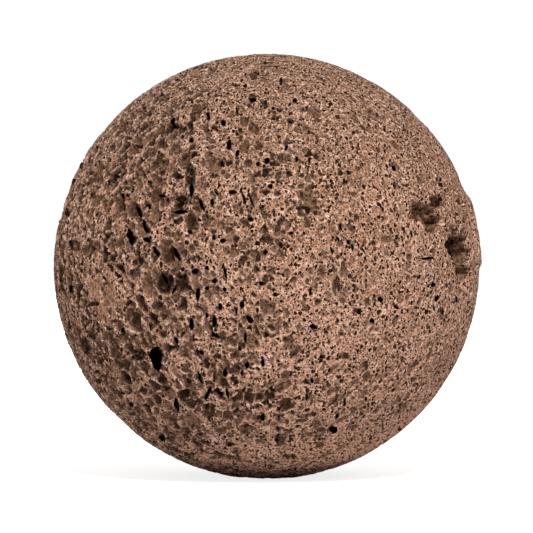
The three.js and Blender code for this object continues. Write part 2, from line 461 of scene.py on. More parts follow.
def foam(tree, kind, group, place, outward):
    """Adds every size of bubble to a tree. Returns how far inside a bubble a point lies, which
    is below 0 outside, how deep its floor is, both in mm, and how dark its inside is painted, as
    painted shade."""
    inside, depth, bubble_shade = -1.0, 0.0, 0.0
    for *values, zone, seed in BUBBLE_SIZES.values():
        size = tree.nodes.new(kind)
        size.node_tree = group
        tree.links.new(place, size.inputs["Place"])
        tree.links.new(outward, size.inputs["Outward"])
        for label, value in zip(VALUES_GIVEN, values):
            size.inputs[label].default_value = value
        size.inputs["Cell size"].default_value = values[0] * MM
        size.inputs["Coarse from"].default_value = zone[0]
        size.inputs["Coarse to"].default_value = zone[1]
        size.inputs["Seed"].default_value = seed
        inside = number(tree, "MAXIMUM", size.outputs["Inside"], inside)
        depth = number(tree, "MAXIMUM", size.outputs["Depth"], depth)
        bubble_shade = number(tree, "MAXIMUM", size.outputs["Dark"], bubble_shade)
    return number(tree, "DIVIDE", inside, MM), number(tree, "DIVIDE", depth, MM), bubble_shade


# %% Geometry Nodes tree: cut every bubble at once
WEAR = {"Broad wear": (5.0, 0.15), "Fine wear": (1.3, 0.25)}  # size and most depth, in mm


def foam_tree():
    tree, given, result = new_group(
        "cut_bubbles",
        "GeometryNodeTree",
        [("Geometry", "Geometry", None)] + [(label, "Float", 0.0) for label in WEAR],
        [("Geometry", "Geometry", None)],
    )
    place = add(tree, "GeometryNodeInputPosition").outputs[0]
    outward = vector(tree, "NORMALIZE", place)
    group = bubble_group("GeometryNodeTree")
    depth = foam(tree, "GeometryNodeGroup", group, place, outward)[1]
    for label, (size, _) in WEAR.items():
        lumpy = add(tree, "ShaderNodeTexNoise", {"Vector": place, "Scale": 1 / (size * MM)})
        worn = remap(tree, lumpy.outputs[0], 0.45, 0.7)
        depth = number(tree, "MULTIPLY_ADD", worn, given[label], depth)
    offset = scaled(tree, outward, number(tree, "MULTIPLY", depth, -MM))
    moved = add(tree, "GeometryNodeSetPosition", {"Geometry": given["Geometry"], "Offset": offset})
    end_tree(tree, moved.outputs[0], result)
    return tree


ground = points_of(stone.data)
run_nodes(stone, foam_tree(), {label: most for label, (_, most) in WEAR.items()})
sunk = np.linalg.norm(ground - points_of(stone.data), axis=1)
print("bubbles cover", round(100 * float((sunk > 0.2 * MM).mean())), "% of the points")

# %% [markdown]
# ## Holes that make this stone this stone
# Nearly two hundred openings are listed one by one: deep black holes where a bubble was cut
# near its top, upright slots, and wide dishes with smooth floors. Each is given in mm as
# it shows from the front: how far right of the middle, how far above it, its width and
# height, how far its top leans left, and its depth. Holes get sheer walls, and every
# opening is sunk along the line of sight, so that its outline shows as it is given.

# %% Holes, in mm and degrees
HOLES = [  # x, z, width, height, lean, depth
    (-20.8, -16.4, 2.6, 2.8, 0, 5.0),
    (-20.7, -17.8, 1.9, 2.8, 0, 5.0),
    (-20.6, -18.8, 1.2, 2.2, 0, 5.0),
    (-25.5, 5.4, 1.4, 3.4, 14, 3.0),
    (-24.2, 10.4, 1.3, 2.4, 25, 2.2),
    (-23.0, 7.6, 1.0, 2.8, 10, 2.6),
    (-22.3, 4.9, 0.9, 2.0, 62, 2.2),
    (-20.9, 2.9, 0.8, 2.2, 28, 2.0),
    (-14.1, 14.3, 0.8, 3.0, 0, 2.6),
    (-16.2, 10.3, 2.6, 0.9, 4, 2.6),
    (-12.2, 11.6, 0.8, 2.6, 22, 1.8),
    (-10.2, 11.9, 0.7, 1.6, 0, 1.6),
    (-27.1, 13.3, 1.0, 1.1, 0, 1.8),
    (-19.7, 13.3, 1.8, 0.7, -10, 1.4),
    (-22.0, 11.3, 0.6, 1.6, 8, 1.4),
    (-2.7, 31.4, 1.4, 1.5, 0, 2.2),
    (-4.0, 34.0, 0.8, 0.9, 0, 1.4),
    (-8.1, 26.9, 1.0, 1.3, 8, 1.7),
    (-11.0, 28.2, 0.6, 2.0, 14, 1.4),
    (-17.6, 27.2, 1.0, 1.9, 5, 1.6),
    (-14.1, 23.7, 0.9, 0.9, 0, 1.6),
    (-7.0, 22.8, 0.9, 2.0, -8, 1.6),
    (-5.5, 21.2, 0.7, 1.7, -15, 1.5),
    (-8.4, 19.4, 0.6, 1.5, 0, 1.4),
    (-1.6, 19.2, 0.8, 0.9, 0, 1.4),
    (-24.0, 22.6, 1.7, 0.8, -20, 1.3),
    (-16.8, 35.1, 0.9, 0.7, 0, 1.2),
    (-28.2, 17.0, 1.4, 0.6, 0, 1.2),
    (-6.4, 13.9, 1.6, 1.1, 0, 1.2),
    (-8.2, 4.8, 1.3, 0.9, 10, 1.4),
    (-9.9, 5.4, 0.7, 1.1, 0, 1.2),
    (-0.7, 11.2, 0.6, 0.8, 0, 1.2),
    (-14.3, 6.4, 0.8, 1.0, 0, 1.4),
    (-11.2, -0.3, 0.8, 0.8, 0, 1.8),
    (-13.4, -0.9, 1.6, 1.2, 30, 1.6),
    (-9.8, -2.7, 1.0, 1.2, 0, 1.8),
    (-11.2, -4.1, 0.8, 0.9, 0, 1.6),
    (-7.9, -4.3, 0.8, 0.8, 0, 1.6),
    (-12.9, -5.2, 0.8, 2.8, -4, 1.9),
    (-19.0, -2.3, 0.6, 3.2, 28, 2.2),
    (-17.3, -4.4, 0.5, 2.2, -30, 1.8),
    (-27.1, -12.0, 1.0, 1.1, 0, 1.8),
    (-24.8, -13.0, 0.7, 0.7, 0, 1.4),
    (-32.4, -7.0, 2.2, 1.0, 8, 0.9),
    (-34.0, -14.8, 1.7, 3.6, 10, 1.0),
    (-36.8, -4.2, 1.0, 1.6, 0, 1.4),
    (-38.6, -3.0, 0.7, 1.8, 0, 1.0),
    (-36.3, 16.0, 0.8, 1.2, -10, 1.2),
    (-37.6, 10.2, 0.7, 1.9, 0, 1.1),
    (-36.7, 4.0, 0.9, 2.2, 0, 1.3),
    (-38.9, 4.4, 0.5, 1.8, 0, 0.8),
    (-37.8, 13.2, 0.5, 1.4, -10, 0.8),
    (-37.1, -11.0, 0.6, 1.6, 8, 1.0),
    (-34.8, 19.0, 0.7, 1.3, -20, 1.0),
    (-33.0, 13.4, 0.7, 1.3, 0, 1.2),
    (-14.1, -10.9, 0.8, 2.5, 0, 2.2),
    (-11.3, -9.3, 0.7, 1.3, 0, 1.6),
    (-9.8, -10.4, 0.9, 2.4, -2, 2.2),
    (-17.0, -13.9, 0.8, 1.6, 30, 1.6),
    (-12.2, -16.2, 0.9, 1.2, 20, 1.4),
    (-4.0, -13.4, 0.7, 2.0, 0, 1.4),
    (-3.2, -10.0, 1.0, 1.8, 40, 1.4),
    (-16.9, -26.1, 1.0, 2.6, 8, 2.2),
    (-11.0, -23.8, 0.8, 2.7, -24, 2.0),
    (-7.4, -23.9, 0.6, 2.2, 10, 1.6),
    (-19.8, -32.3, 1.5, 1.0, -5, 2.0),
    (-25.5, -26.0, 1.2, 1.0, 20, 1.4),
    (-12.6, -20.9, 0.7, 2.6, 14, 1.4),
    (-4.6, -20.0, 0.6, 1.6, 0, 1.2),
    (12.5, -30.6, 1.7, 1.5, -30, 2.0),
    (13.3, -28.1, 0.7, 0.8, 0, 1.4),
    (21.4, -6.2, 1.1, 1.1, 0, 2.0),
    (19.8, -10.2, 0.9, 0.9, 0, 1.6),
    (8.7, -11.3, 1.3, 1.0, -40, 1.6),
    (10.3, -17.0, 0.8, 0.7, 0, 1.3),
    (24.0, 18.6, 1.0, 1.5, 20, 1.8),
    (14.6, 16.0, 0.5, 1.6, 0, 1.2),
    (13.9, 7.4, 0.6, 1.5, -8, 1.2),
    (15.4, 4.6, 0.8, 0.9, 0, 1.4),
    (30.2, 1.5, 2.7, 0.5, 4, 1.6),
    (31.3, -3.4, 1.0, 0.9, 0, 1.8),
    (32.0, -6.0, 0.7, 1.4, -20, 1.5),
    (4.7, 6.2, 0.9, 0.8, 0, 1.3),
    (4.0, 17.6, 0.7, 1.0, 10, 1.2),
    (0.7, 15.1, 1.0, 1.0, 0, 1.3),
    (7.6, -24.6, 0.6, 1.5, 12, 1.3),
    (23.9, -23.3, 0.8, 0.8, 0, 1.5),
    (18.7, -24.9, 0.6, 0.9, 0, 1.2),
    (-23.0, 29.8, 0.8, 0.8, 0, 1.2),
    (-29.6, 15.8, 0.6, 1.6, 0, 1.3),
    (-21.9, 15.6, 0.9, 1.8, 30, 1.3),
    (-3.0, 8.9, 1.1, 1.2, 0, 1.2),
    (-16.8, 2.2, 0.8, 3.2, 25, 1.6),
    (-0.2, 30.8, 0.7, 1.3, 0, 1.3),
    (-5.5, 29.0, 0.5, 1.8, 10, 1.2),
    (-4.2, 12.6, 0.5, 2.8, 15, 1.2),
    (-2.8, 12.2, 0.45, 2.8, 20, 1.2),
    (-9.4, 13.8, 0.5, 1.4, 30, 1.2),
    (2.7, 34.7, 0.6, 1.6, 0, 1.4),
    (5.3, 31.1, 1.0, 0.8, 0, 1.2),
    (0.0, 19.9, 1.1, 1.3, 20, 1.5),
    (3.7, 22.3, 0.6, 1.2, -20, 1.3),
    (5.7, 20.2, 0.6, 1.2, 0, 1.2),
    (8.0, 19.8, 0.4, 1.6, 0, 1.1),
    (17.2, 22.5, 0.35, 1.4, -15, 1.0),
    (2.7, 3.9, 0.8, 1.3, 0, 1.3),
    (-0.2, 2.7, 0.9, 1.0, 0, 1.3),
    (12.2, 3.0, 0.5, 1.6, 15, 1.2),
    (16.1, 3.6, 0.5, 1.5, 0, 1.2),
    (32.9, -8.4, 0.9, 1.8, 20, 0.9),
    (35.6, -6.2, 0.5, 1.4, 0, 0.9),
    (24.3, -7.6, 1.2, 0.7, -40, 0.9),
    (25.4, -8.6, 0.6, 0.7, 0, 0.8),
    (28.2, -7.8, 0.9, 0.6, 0, 0.8),
    (30.1, -8.5, 0.8, 0.9, 0, 1.0),
    (17.4, -8.5, 0.8, 1.3, -20, 1.2),
    (1.6, -5.3, 0.9, 0.8, 0, 1.2),
    (-1.0, -3.2, 1.0, 1.0, 0, 1.4),
    (8.2, -4.8, 0.5, 1.5, 0, 1.3),
    (-0.7, -18.1, 0.8, 1.6, 0, 1.4),
    (-0.7, -28.3, 0.9, 1.8, 0, 1.5),
    (1.9, -32.6, 0.8, 0.9, 0, 1.4),
    (0.2, -25.5, 0.5, 1.4, 20, 1.2),
    (8.5, -21.4, 0.7, 1.0, 0, 1.2),
    (4.6, -20.2, 0.4, 1.3, -15, 1.1),
    (14.7, -25.5, 0.5, 1.5, 0, 1.2),
    (21.8, -30.1, 0.4, 1.6, 5, 1.1),
    (25.0, -30.6, 0.8, 0.7, 0, 1.2),
    (-7.8, -1.1, 0.5, 2.4, 8, 1.4),
    (-4.6, -7.1, 0.8, 1.6, 0, 1.4),
    (-5.7, -8.4, 0.5, 1.6, 0, 1.3),
    (-5.0, -15.4, 0.8, 1.0, 0, 1.3),
    (-3.7, -18.6, 0.9, 1.4, 0, 1.5),
    (-7.8, -20.0, 0.9, 1.8, 0, 1.4),
    (-9.9, -20.9, 0.5, 1.8, 0, 1.3),
    (-26.6, -21.3, 0.7, 0.9, 0, 1.2),
    (-23.4, -6.0, 0.8, 1.0, 0, 1.2),
    (-20.7, -10.3, 0.7, 1.2, 0, 1.2),
    (-21.9, -11.4, 0.5, 2.0, 8, 1.2),
    (-8.7, -7.6, 0.8, 1.4, 0, 1.4),
    (-6.9, -33.5, 0.8, 0.9, 0, 1.2),
]
DISHES = [  # x, z, width, height, lean, depth
    (-24.0, -16.6, 2.7, 2.6, 0, 1.5),
    (-25.4, -9.4, 2.2, 3.6, 12, 0.9),
    (-14.3, 16.9, 2.0, 5.2, 4, 1.5),
    (-15.9, 12.1, 2.9, 2.6, 0, 1.4),
    (-12.9, 11.8, 1.9, 3.2, 22, 1.0),
    (-19.6, 12.7, 1.9, 1.5, 0, 0.9),
    (-19.0, -3.2, 3.4, 4.4, 0, 1.6),
    (-15.9, -3.2, 2.6, 4.2, -16, 1.4),
    (-23.9, 0.8, 2.9, 2.2, 20, 1.1),
    (-24.8, -1.3, 2.8, 1.8, 25, 1.0),
    (-27.2, 4.2, 2.2, 2.0, 0, 0.8),
    (-33.8, 3.0, 1.8, 2.4, 0, 0.9),
    (-13.6, 7.4, 1.9, 2.8, 10, 1.0),
    (-11.4, 9.0, 1.7, 1.8, -30, 0.9),
    (-11.1, 8.1, 1.6, 1.7, 0, 0.8),
    (-4.2, 3.9, 2.3, 1.8, 15, 0.7),
    (-13.8, 3.4, 1.8, 1.9, 0, 0.8),
    (-9.6, -4.6, 2.0, 2.0, 0, 0.7),
    (-14.3, 25.9, 1.6, 1.7, 0, 0.9),
    (-3.5, 19.3, 1.9, 1.7, 30, 0.9),
    (-15.0, -16.3, 1.6, 1.8, 10, 0.9),
    (-14.7, -21.9, 1.8, 2.4, 0, 0.9),
    (-17.6, -32.0, 1.6, 1.2, 0, 0.7),
    (13.1, -3.6, 1.6, 4.5, 2, 1.0),
    (9.6, -29.7, 1.6, 3.2, 22, 0.8),
    (-3.4, -31.0, 1.6, 1.3, 0, 0.8),
    (-6.8, -14.0, 1.7, 1.9, 10, 0.8),
    (7.4, 26.0, 2.2, 1.6, 0, 0.6),
    (3.4, 33.8, 2.0, 1.5, 0, 0.6),
    (0.9, -7.6, 1.9, 2.0, 0, 0.7),
    (5.6, -16.2, 1.6, 2.4, -10, 0.7),
    (-22.3, 20.6, 3.2, 2.4, 0, 0.7),
    (-18.1, 18.3, 1.6, 1.6, 0, 0.7),
    (-17.0, 22.3, 1.9, 1.7, 0, 0.9),
    (-13.1, 29.6, 2.0, 2.6, 0, 0.8),
    (-10.1, 36.7, 1.3, 1.2, 0, 0.6),
    (-18.4, 6.2, 1.5, 2.2, 0, 0.6),
    (-16.5, 5.8, 1.3, 2.2, 0, 0.7),
    (9.0, 29.2, 3.0, 2.0, 0, 0.6),
    (15.0, -4.9, 1.9, 1.6, 0, 0.6),
    (18.6, -23.7, 1.4, 1.6, 0, 0.6),
    (2.6, -32.2, 2.4, 2.0, 0, 1.1),
    (-8.4, -13.3, 1.7, 2.2, -15, 0.9),
    (-5.2, -18.8, 1.9, 1.6, 0, 1.0),
    (-24.3, -19.1, 1.7, 1.4, 0, 0.8),
    (-28.2, -14.0, 1.3, 1.3, 0, 0.8),
    (-27.6, -16.5, 1.2, 1.2, 0, 0.8),
    (-5.7, -25.9, 1.6, 1.4, 0, 0.8),
]

# %% Sink each opening along the line of sight, and paint its shade
SHEER_WALL = 2.5  # the larger, the steeper the walls of a hole
# Painted shade: holes are painted black, and dishes darker, from their walls inward and more with depth
SHADE_WALL, SHADE_DEPTH = 7.0, 1.5  # a hole is black this soon, and from this depth in mm
DISH_SHADE_WALL, DISH_SHADE_DEPTH = 2.0, 2.0  # the same for a dish
RAGGED_SHARE, RAGGED_MOST = 0.45, 0.9  # size of the lumps on an outline: share, most mm
HOLE_RAGGED, DISH_RAGGED = 0.5, 0.25


def shown_at(ground):
    """How far right of and above the ball's middle each point shows from the front, in mm."""
    nearer = camera_distance / (camera_distance + ground[:, 1]) / MM
    return ground[:, [0, 2]] * nearer[:, None] * SHOWN_SIZE


def carve(points, ground, sunk, shown, opening, sheer):
    """Sinks the points inside one opening. Changes points and sunk, and returns the points
    near the opening and how dark each one is painted, as painted shade."""
    x, z, wide, high, lean, depth = opening
    turn = math.radians(lean)
    offset = shown - (x, z)
    near = np.nonzero((np.hypot(*offset.T) < max(wide, high)) & (ground[:, 1] < 0))[0]
    right, up = offset[near].T
    sideways = (right * math.cos(turn) + up * math.sin(turn)) / (wide / 2)
    upward = (up * math.cos(turn) - right * math.sin(turn)) / (high / 2)
    ragged_size = min(RAGGED_SHARE * (wide + high) / 2, RAGGED_MOST) * MM
    ragged = lumps(ground[near], ragged_size, 2) * (HOLE_RAGGED if sheer else DISH_RAGGED)
    inside = np.clip(1 - sideways**2 - upward**2 + ragged, 0, 1)
    sink = depth * MM * (np.minimum(inside * SHEER_WALL, 1) if sheer else np.sqrt(inside))
    deeper = sink > sunk[near]
    moved = near[deeper]
    sight = ground[moved] + (0, camera_distance, 0)
    sight /= np.linalg.norm(sight, axis=1, keepdims=True)
    points[moved] = ground[moved] + sight * sink[deeper, None]
    sunk[moved] = sink[deeper]
    # Painted shade: how black a hole, or how dark a dish, is painted
    if sheer:
        return near, np.minimum(inside * SHADE_WALL, 1) * min(depth / SHADE_DEPTH, 1)
    return near, np.minimum(inside * DISH_SHADE_WALL, 1) * min(depth / DISH_SHADE_DEPTH, 1)


points = points_of(stone.data)
ground = directions * broken_radius[:, None]
shown = shown_at(ground)
hole_shade = np.zeros(len(points))
carved = sunk.copy()
for sheer, openings in ((False, DISHES), (True, HOLES)):
    for opening in openings:
        near, painted_shade = carve(points, ground, carved, shown, opening, sheer)
        hole_shade[near] = np.maximum(hole_shade[near], painted_shade)
move_points(stone.data, points)
print(len(HOLES), "holes and", len(DISHES), "dishes over", int((carved > sunk).sum()), "points")

# %% [markdown]
# ## What the material needs to know
# Colour follows shape on this stone: ground rims are pale with dust and painted highlight,
# floors are brown and painted darker with depth as painted shade, and deep holes are
# painted nearly black as shade. So every point keeps what is known about it now, while the
# grid is still dense: the skin above it, how deep it lies in a hollow, a bubble or an
# opening, how black its painted shade is, how far it stands out from its near neighbours or
# lies below its wider ones, and which way it faced on the plain ball.

# %% Attributes that the material and the map read
CREST_ROUNDS, NARROW_ROUNDS = 3, 50  # times that the depth is blurred with its neighbours


def neighbour_mean(values, pairs, counts):
    total = np.bincount(pairs[:, 0], values[pairs[:, 1]], len(values))
    total += np.bincount(pairs[:, 1], values[pairs[:, 0]], len(values))
    return total / counts


def blurred(values, pairs, counts, rounds):
    for _ in range(rounds):
        values = 0.5 * values + 0.5 * neighbour_mean(values, pairs, counts)
    return values


def keep(mesh, name, values):
    attribute = mesh.attributes.new(name, "FLOAT", "POINT")
    attribute.data.foreach_set("value", values.astype(np.float32))
    low, middle, high = np.percentile(values, (5, 50, 95))
    print(f"{name}: {low:.2f} {middle:.2f} {high:.2f}")


def keep_maps(mesh):
    points = points_of(mesh)
    pairs = np.empty(len(mesh.edges) * 2, np.int32)
    mesh.edges.foreach_get("vertices", pairs)
    pairs = pairs.reshape(-1, 2)
    counts = np.bincount(pairs.ravel(), minlength=len(points))
    depth = carved / MM
    keep(mesh, "skin_radius", broken_radius)
    keep(mesh, "hollow", hollow_depth(directions) / MM)
    keep(mesh, "depth", depth)
    keep(mesh, "carved", np.where(carved > sunk, carved, 0) / MM)
    keep(mesh, "hole_shade", hole_shade)
    keep(mesh, "crest", blurred(depth, pairs, counts, CREST_ROUNDS) - depth)
    keep(mesh, "narrow", depth - blurred(depth, pairs, counts, NARROW_ROUNDS))
    facing = mesh.attributes.new("facing", "FLOAT_VECTOR", "POINT")
    facing.data.foreach_set("vector", directions.astype(np.float32).ravel())


# %% [markdown]
# ## A lighter mesh
# The grid is even, but the stone isn't: a bubble's rim needs many points and a smooth
# stretch few. Decimate's collapse mode takes points away where they matter least. It
# takes more from what is small, so the far side is shrunk while it works, and the side
# with the listed openings keeps more of its points.

# %% Thin the mesh, set it on its foot and shade it smooth
MOST_TRIANGLES = 197_000
FAR_SIDE_SIZE = 0.45
SHARP_EDGE = 60  # degrees


def far_side_size(points):
    """1 on the side with the openings, going down to FAR_SIDE_SIZE on the far side."""
    facing = -points[:, 1] / np.linalg.norm(points, axis=1)
    near_side = smoothstep(facing, -0.25, 0.1)
    return (FAR_SIDE_SIZE + (1 - FAR_SIDE_SIZE) * near_side)[:, None]


keep_maps(stone.data)
points = points_of(stone.data)
move_points(stone.data, points * far_side_size(points))
thin = stone.modifiers.new("thin", "DECIMATE")
thin.ratio = MOST_TRIANGLES / (2 * len(stone.data.polygons))
settled(stone)
points = points_of(stone.data)
points /= far_side_size(points)
points += np.array(ball_centre)
points[:, 2] = np.maximum(points[:, 2], 0)
move_points(stone.data, points)
stone.data.shade_smooth()
stone.data.set_sharp_from_angle(angle=math.radians(SHARP_EDGE))
print("stone:", len(stone.data.vertices), "points,", len(stone.data.polygons), "faces")

# %% [markdown]
# ## A map for painted colour
# Other programs can't run this material, so its colours have to be baked into a picture,
# and that needs a map. The map below unfolds the stone like a cube: each triangle goes to
# one of six squares by the side it faced before anything was carved, so that the walls of
# pits get their own room.

# %% Unfold the stone into six squares, three across and two up
SQUARE_SHARE = 0.95  # of its sixth of the map, which leaves a gap between squares


def unfold(mesh):
    facing = np.empty(len(mesh.vertices) * 3, np.float32)
    mesh.attributes["facing"].data.foreach_get("vector", facing)
    facing = facing.reshape(-1, 3).astype(float)
    corner_point = np.empty(len(mesh.loops), np.int32)
    mesh.loops.foreach_get("vertex_index", corner_point)
    sizes = np.empty(len(mesh.polygons), np.int32)
    mesh.polygons.foreach_get("loop_total", sizes)
    polygon = np.repeat(np.arange(len(sizes)), sizes)
    corners = facing[corner_point]
    middle = np.stack([np.bincount(polygon, corners[:, i]) for i in range(3)], axis=1)
    axis = np.abs(middle).argmax(axis=1)
    positive = np.take_along_axis(middle, axis[:, None], axis=1)[:, 0] > 0
    axis, positive = axis[polygon], positive[polygon]
    ahead = np.abs(np.take_along_axis(corners, axis[:, None], axis=1)[:, 0])
    first = np.take_along_axis(corners, ((axis + 1) % 3)[:, None], axis=1)[:, 0]
    second = np.take_along_axis(corners, ((axis + 2) % 3)[:, None], axis=1)[:, 0]
    across = np.arctan(first / ahead) / (math.pi / 2) * SQUARE_SHARE
    upward = np.arctan(second / ahead) / (math.pi / 2) * SQUARE_SHARE
    places = np.stack(((axis + 0.5 + across) / 3, (positive + 0.5 + upward) / 2), axis=1)
    layer = mesh.uv_layers.new(name="OFBake")
    layer.data.foreach_set("uv", places.astype(np.float32).ravel())


unfold(stone.data)
print("map:", len(stone.data.uv_layers), "layer on", len(stone.data.loops), "corners")

# %% [markdown]
# ## Fine pores
# The rock between the bubbles is itself a fine sponge. Its pores, 0.3 to 1 mm wide, are
# too many for a mesh, so a node group draws them: each is a bowl, painted dark as painted
# shade, with a pale rim of dust and painted highlight, and its depth feeds a Bump node. The
# group is placed four times, with its own values for each kind of pore, and once more for
# the few white mineral specks.

# %% Shader group: one size of fine pores


def pores_group():
    tree, given, result = new_group(
        "fine_pores",
        "ShaderNodeTree",
        [
            ("Vector", "Vector", None),
            ("Cell size", "Float", 0.001),
            ("Smallest", "Float", 0.2),
            ("Largest", "Float", 0.5),
            ("Share", "Float", 0.8),
            ("Stretch", "Float", 1.2),
            ("Wobble", "Float", 0.4),
        ],
        [("Bowl", "Float", None), ("Rim", "Float", None)],
    )
    in_cells = scaled(tree, given["Vector"], number(tree, "DIVIDE", 1.0, given["Cell size"]))
    drift = add(tree, "ShaderNodeTexNoise", {"Vector": in_cells, "Scale": 1.3, "Detail": 1.0})
    drift = vector(tree, "SUBTRACT", drift.outputs["Color"], (0.5, 0.5, 0.5))
    drift = scaled(tree, drift, number(tree, "MULTIPLY", given["Wobble"], 2.0))
    flatten = number(tree, "DIVIDE", 1.0, given["Stretch"])
    squeeze = add(tree, "ShaderNodeCombineXYZ", {0: 1.0, 1: 1.0, 2: flatten}).outputs[0]
    place = vector(tree, "MULTIPLY", vector(tree, "ADD", in_cells, drift), squeeze)
    cells = add(tree, "ShaderNodeTexVoronoi", {"Vector": place, "Scale": 1.0}).outputs
    chance = add(tree, "ShaderNodeSeparateXYZ", {0: cells["Color"]}).outputs
    radius = remap(tree, chance[0], 0.0, 1.0, given["Smallest"], given["Largest"], "LINEAR")
    radius = number(tree, "MULTIPLY", radius, number(tree, "LESS_THAN", chance[1], given["Share"]))
    inside = number(tree, "SUBTRACT", radius, cells["Distance"])
    bowl = remap(tree, inside, -0.02, 0.11)
    around = remap(tree, inside, -0.25, -0.02)
    tree.links.new(bowl, result["Bowl"])
    tree.links.new(number(tree, "SUBTRACT", around, bowl, clamp=True), result["Rim"])
    return tree


# %% Place the pores group once for each kind of pore
PORE_SIZES = {  # cell size in mm, then smallest, largest, share, stretch and wobble in cells
    "slit": (1.60, 0.06, 0.17, 0.90, 3.20, 0.50),
    "round": (1.45, 0.09, 0.29, 0.85, 1.30, 0.30),
    "open": (0.74, 0.22, 0.50, 1.00, 1.25, 0.40),
    "pin": (0.44, 0.16, 0.48, 0.95, 1.10, 0.30),
    "speck": (2.20, 0.04, 0.12, 0.16, 1.30, 0.30),
}


def fine_pores(tree, place):
    """Adds every kind of pore. Returns the bowls and the rims, each by the kind's name."""
    group = pores_group()
    bowls, rims = {}, {}
    for name, (cell, *values) in PORE_SIZES.items():
        node = tree.nodes.new("ShaderNodeGroup")
        node.node_tree = group
        tree.links.new(place, node.inputs["Vector"])
        node.inputs["Cell size"].default_value = cell * MM
        for label, value in zip(("Smallest", "Largest", "Share", "Stretch", "Wobble"), values):
            node.inputs[label].default_value = value
        bowls[name] = node.outputs["Bowl"]
        rims[name] = node.outputs["Rim"]
    return bowls, rims


# %% Helpers for colour


def mixed(tree, factor, first, second, blend="MIX"):
    made = add(tree, "ShaderNodeMix", data_type="RGBA", blend_type=blend)
    for socket, value in zip((made.inputs[0], made.inputs[6], made.inputs[7]), (factor, first, second)):
        if isinstance(value, bpy.types.NodeSocket):
            tree.links.new(value, socket)
        else:
            socket.default_value = value
    return made.outputs[2]


def read(tree, name):
    return add(tree, "ShaderNodeAttribute", attribute_name=name).outputs["Fac"]


def noise_at(tree, place, size, detail=2.0):
    """Noise with lumps of about this size in mm."""
    given = {"Vector": place, "Scale": 1 / (size * MM), "Detail": detail}
    return add(tree, "ShaderNodeTexNoise", given).outputs["Fac"]


# %% [markdown]
# ## Colour of the rock
# Iron in the lava rusted unevenly, so the skin drifts between brown, pink and olive in
# patches several mm wide. Bubble floors were never ground and stay a darker brown, and are
# painted darker still with depth as painted shade. A fine speckle stands for single grains,
# and the skin is painted a little darker to the right and top, as painted shade.

# %% The rock's own colour, with painted shade on floors and to the right and top
ROCK_BROWN = (0.225, 0.101, 0.053, 1)
ROCK_PINK = (0.350, 0.176, 0.112, 1)
ROCK_OLIVE = (0.165, 0.083, 0.038, 1)
# Floor colours: partly the floors' own brown, partly painted shade that deepens with depth
FLOOR_BROWN_AND_SHADE = (0.160, 0.084, 0.050, 1)
FLOOR_OLIVE_AND_SHADE = (0.066, 0.025, 0.007, 1)
PATCH_SIZE, STAIN_SIZE, GRAIN_SIZE = 11, 6, 0.4  # mm
PATCH_EDGES, STAIN_EDGES, GRAIN_EDGES = (0.38, 0.62), (0.42, 0.66), (0.32, 0.68)
PINK_LOW, PINK_RIGHT, OLIVE_HIGH = -0.22, 0.08, 0.16
MOST_OLIVE, MOST_BROWN = 0.6, 0.75
BROWN_DEPTHS, OLIVE_DEPTHS = (0.05, 0.5), (0.45, 1.4)  # mm
GRAIN_DARK, GRAIN_PALE = 0.35, 1.8
# Painted shade: the skin is made darker towards the top and towards the right
PAINTED_SHADE_TOP, PAINTED_SHADE_RIGHT = (0.2, 0.9, 1.0, 0.7), (0.35, 0.9, 1.0, 0.84)


def rock_colour(tree, place, outward, depth, grain):
    """Returns the colour, and the speckle that is in it, which also carries painted shade."""
    axes = add(tree, "ShaderNodeSeparateXYZ", {0: outward}).outputs
    tone = number(tree, "MULTIPLY_ADD", axes[2], PINK_LOW, noise_at(tree, place, PATCH_SIZE, 3.0))
    tone = number(tree, "MULTIPLY_ADD", axes[0], PINK_RIGHT, tone)
    stains = noise_at(tree, place, STAIN_SIZE, 3.0)
    stains = number(tree, "MULTIPLY_ADD", axes[2], OLIVE_HIGH, stains)
    stains = number(tree, "MULTIPLY", remap(tree, stains, *STAIN_EDGES), MOST_OLIVE)
    rock = mixed(tree, remap(tree, tone, *PATCH_EDGES), ROCK_BROWN, ROCK_PINK)
    rock = mixed(tree, stains, rock, ROCK_OLIVE)
    # Floors darken with depth: partly their own brown, partly painted shade
    rock = mixed(tree, remap(tree, depth, *BROWN_DEPTHS, 0.0, MOST_BROWN), rock, FLOOR_BROWN_AND_SHADE)
    rock = mixed(tree, remap(tree, depth, *OLIVE_DEPTHS), rock, FLOOR_OLIVE_AND_SHADE)
    speckle = noise_at(tree, place, GRAIN_SIZE, 1.5)
    speckle = remap(tree, speckle, *GRAIN_EDGES, GRAIN_DARK, GRAIN_PALE)
    speckle = number(tree, "MULTIPLY_ADD", number(tree, "SUBTRACT", speckle, 1.0), grain, 1.0)
    # Painted shade: darker towards the top and the right
    speckle = number(tree, "MULTIPLY", speckle, remap(tree, axes[2], *PAINTED_SHADE_TOP))
    speckle = number(tree, "MULTIPLY", speckle, remap(tree, axes[0], *PAINTED_SHADE_RIGHT))
    return mixed(tree, 1.0, rock, speckle, "MULTIPLY"), speckle


# %% [markdown]
# ## Pale rims
# Grinding dust settles on whatever stands proud: the rims of pores, the lips of bubbles
# and the thin walls between them, and their paleness is also painted highlight where light
# would catch the raised edges. Each is found in its own way, from the pores' rims, from
# the distance to a bubble's edge and from the crest attribute, and flecks break them up.

# %% Pale rims, lips and walls: dust and painted highlight
RIM_DUST_AND_HIGHLIGHT = (0.780, 0.500, 0.375, 1)
RIM_STRENGTH = {"pin": 0.8, "open": 0.7, "round": 0.45}
LIP_WIDTH = (0.03, 0.17)  # mm from a bubble's edge
LIP_PATCHES, FLECKS = (3, 0.35, 0.65, 0.3, 1.0), (0.6, 0.35, 0.65, 0.25, 1.15)
CREST_HEIGHT, WALL_STRENGTH = (0.02, 0.12), 0.5


def patchy(tree, place, size, *edges):
    return remap(tree, noise_at(tree, place, size), *edges)


